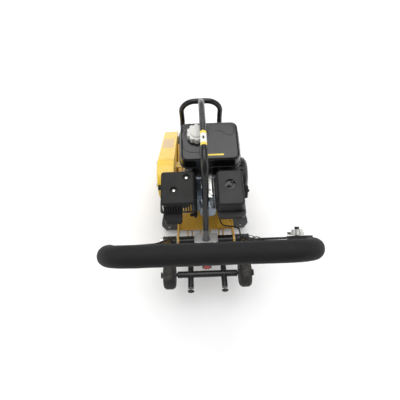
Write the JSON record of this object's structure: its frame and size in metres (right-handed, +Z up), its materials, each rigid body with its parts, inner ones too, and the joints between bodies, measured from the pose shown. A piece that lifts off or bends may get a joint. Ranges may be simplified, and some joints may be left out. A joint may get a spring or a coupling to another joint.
{
  "type": "plate compactor",
  "caption": "Forward plate compactor: engine on a sprung deck, belt-driven exciter on an upturned base plate, hoop frame with lifting bar, foam-gripped handle, fold-down wheels.",
  "frame": {"origin": "on the ground in the machine's centre plane, midway between the front and rear ends of the base plate", "axes": "+X to the machine's right, +Y in its direction of travel, +Z up"},
  "size_m": [0.55, 0.9739, 0.9544],
  "materials": {
    "dark_paint": "satin powder coat",
    "yellow_paint": "gloss enamel",
    "guard_yellow": "gloss enamel",
    "black_tube": "gloss powder coat",
    "engine_black": "satin enamel",
    "cast_alloy": "as cast",
    "cast_iron": "painted casting",
    "steel": "machined",
    "zinc": "zinc plated",
    "black_plastic": "fine grain",
    "white_plastic": "smooth",
    "red_plastic": "smooth",
    "rubber": "moulded",
    "tyre": "solid tyre",
    "foam": "closed-cell foam"
  },
  "bodies": {
    "chassis": {"base_plate": "dark_paint", "exciter_housing": "cast_iron", "exciter_covers": "cast_iron", "bearings": "steel", "rubber_mounts": "rubber", "engine_deck": "yellow_paint", "rear_cross_member": "black_tube", "wheel_lugs": "yellow_paint", "belt_guard": "guard_yellow", "belt_guard_back": "guard_yellow", "v_belt": "rubber", "crankcase": "cast_alloy", "crankcase_cover": "cast_alloy", "cylinder_head": "cast_alloy", "rocker_cover": "cast_alloy", "ignition": "black_plastic", "oil_dipsticks": "black_plastic", "fan_housing": "engine_black", "recoil_cover": "engine_black", "fuel_tank": "engine_black", "brackets": "yellow_paint", "muffler": "engine_black", "muffler_cover": "engine_black", "air_cleaner_base": "black_plastic", "filter_element": "foam", "air_cleaner_cover": "black_plastic", "carburettor": "cast_alloy", "fuel_hose": "rubber", "control_linkage": "zinc", "engine_switch": "black_plastic", "protection_frame": "black_tube", "throttle_cable": "rubber", "fasteners": "zinc"},
    "handle": {"handle_tube": "black_tube", "grip_foam": "foam", "pivot_bushes": "rubber", "throttle_clamp": "black_plastic"},
    "throttle_lever": {"throttle_lever": "zinc"},
    "wheel_frame": {"wheel_frame": "black_tube", "frame_caps": "rubber"},
    "wheel_left": {"wheel_left": "tyre"},
    "wheel_right": {"wheel_right": "tyre"},
    "lock_plunger": {"lock_plunger": "red_plastic"},
    "fuel_cap": {"fuel_cap": "white_plastic"},
    "starter_grip": {"starter_grip": "black_plastic"},
    "recoil_reel": {"recoil_reel": "black_plastic"},
    "crank": {"crankshaft": "steel", "flywheel": "cast_iron", "clutch_hub": "steel"},
    "clutch_shoe_front": {"clutch_shoe_front": "cast_iron"},
    "clutch_shoe_rear": {"clutch_shoe_rear": "cast_iron"},
    "clutch_drum": {"clutch_drum": "cast_iron"},
    "exciter": {"exciter_shaft": "steel", "eccentric_weights": "cast_iron", "exciter_pulley": "cast_iron"},
    "piston": {"piston": "cast_alloy"},
    "throttle_arm": {"throttle_arm": "zinc"},
    "choke_lever": {"choke_lever": "black_plastic"},
    "fuel_valve_lever": {"fuel_valve_lever": "black_plastic"},
    "switch_knob": {"switch_knob": "red_plastic"}
  },
  "joints": [
    {"name": "handle_tilt", "type": "hinge", "parent": "chassis", "child": "handle", "pos_m": [0, -0.42, 0.255], "axis": [1, 0, 0], "range_deg": [-22, 15]},
    {"name": "throttle_lever_turn", "type": "hinge", "parent": "handle", "child": "throttle_lever", "pos_m": [0.231, -0.5776, 0.82665], "axis": [0, 0.9472, 0.3206], "range_deg": [0, 60]},
    {"name": "wheel_frame_swing", "type": "hinge", "parent": "chassis", "child": "wheel_frame", "pos_m": [0, -0.388, 0.15], "axis": [1, 0, 0], "range_deg": [0, 44]},
    {"name": "wheel_left_spin", "type": "hinge", "parent": "wheel_frame", "child": "wheel_left", "pos_m": [-0.17, -0.564, 0.2], "axis": [1, 0, 0], "continuous": true},
    {"name": "wheel_right_spin", "type": "hinge", "parent": "wheel_frame", "child": "wheel_right", "pos_m": [0.17, -0.564, 0.2], "axis": [1, 0, 0], "continuous": true},
    {"name": "lock_plunger_slide", "type": "slide", "parent": "wheel_frame", "child": "lock_plunger", "axis": [0, -0.9619, 0.2733], "range_m": [-0.009, 0]},
    {"name": "fuel_cap_turn", "type": "hinge", "parent": "chassis", "child": "fuel_cap", "pos_m": [-0.025, -0.059, 0.56], "axis": [0, 0, 1], "range_deg": [0, 90]},
    {"name": "starter_pull", "type": "slide", "parent": "chassis", "child": "starter_grip", "axis": [0, -0.788, 0.6157], "range_m": [0, 0.06]},
    {"name": "recoil_reel_turn", "type": "hinge", "parent": "chassis", "child": "recoil_reel", "pos_m": [0.182, -0.14, 0.346], "axis": [1, 0, 0], "range_deg": [-120, 0]},
    {"name": "crank_spin", "type": "hinge", "parent": "chassis", "child": "crank", "pos_m": [0, -0.14, 0.346], "axis": [1, 0, 0], "continuous": true},
    {"name": "clutch_shoe_front_out", "type": "slide", "parent": "crank", "child": "clutch_shoe_front", "axis": [0, 1, 0], "range_m": [0, 0.0015]},
    {"name": "clutch_shoe_rear_out", "type": "slide", "parent": "crank", "child": "clutch_shoe_rear", "axis": [0, -1, 0], "range_m": [0, 0.0015]},
    {"name": "exciter_spin", "type": "hinge", "parent": "chassis", "child": "exciter", "pos_m": [0, 0.16, 0.112], "axis": [1, 0, 0], "continuous": true},
    {"name": "clutch_drum_spin", "type": "hinge", "parent": "chassis", "child": "clutch_drum", "pos_m": [-0.166, -0.14, 0.346], "axis": [1, 0, 0], "continuous": true},
    {"name": "piston_stroke", "type": "slide", "parent": "chassis", "child": "piston", "axis": [0, 0.9397, -0.342], "range_m": [0, 0.045]},
    {"name": "throttle_arm_turn", "type": "hinge", "parent": "chassis", "child": "throttle_arm", "pos_m": [0.074, -0.2921, 0.40551], "axis": [0, 0, 1], "range_deg": [0, 45]},
    {"name": "choke_lever_turn", "type": "hinge", "parent": "chassis", "child": "choke_lever", "pos_m": [0.104, -0.2721, 0.41151], "axis": [1, 0, 0], "range_deg": [-45, 0]},
    {"name": "fuel_valve_turn", "type": "hinge", "parent": "chassis", "child": "fuel_valve_lever", "pos_m": [0.104, -0.2721, 0.3785], "axis": [1, 0, 0], "range_deg": [0, 90]},
    {"name": "engine_switch_turn", "type": "hinge", "parent": "chassis", "child": "switch_knob", "pos_m": [0.12, -0.262, 0.376], "axis": [0, 1, 0], "range_deg": [0, 50]}
  ],
  "couplings": [
    {"joint": "clutch_drum_spin", "follows": "exciter_spin", "ratio": 0.66667},
    {"joint": "clutch_shoe_rear_out", "follows": "clutch_shoe_front_out", "ratio": 1},
    {"joint": "recoil_reel_turn", "follows": "starter_pull", "rad_per_m": -33.333},
    {"joint": "throttle_arm_turn", "follows": "throttle_lever_turn", "ratio": 0.75}
  ]
}
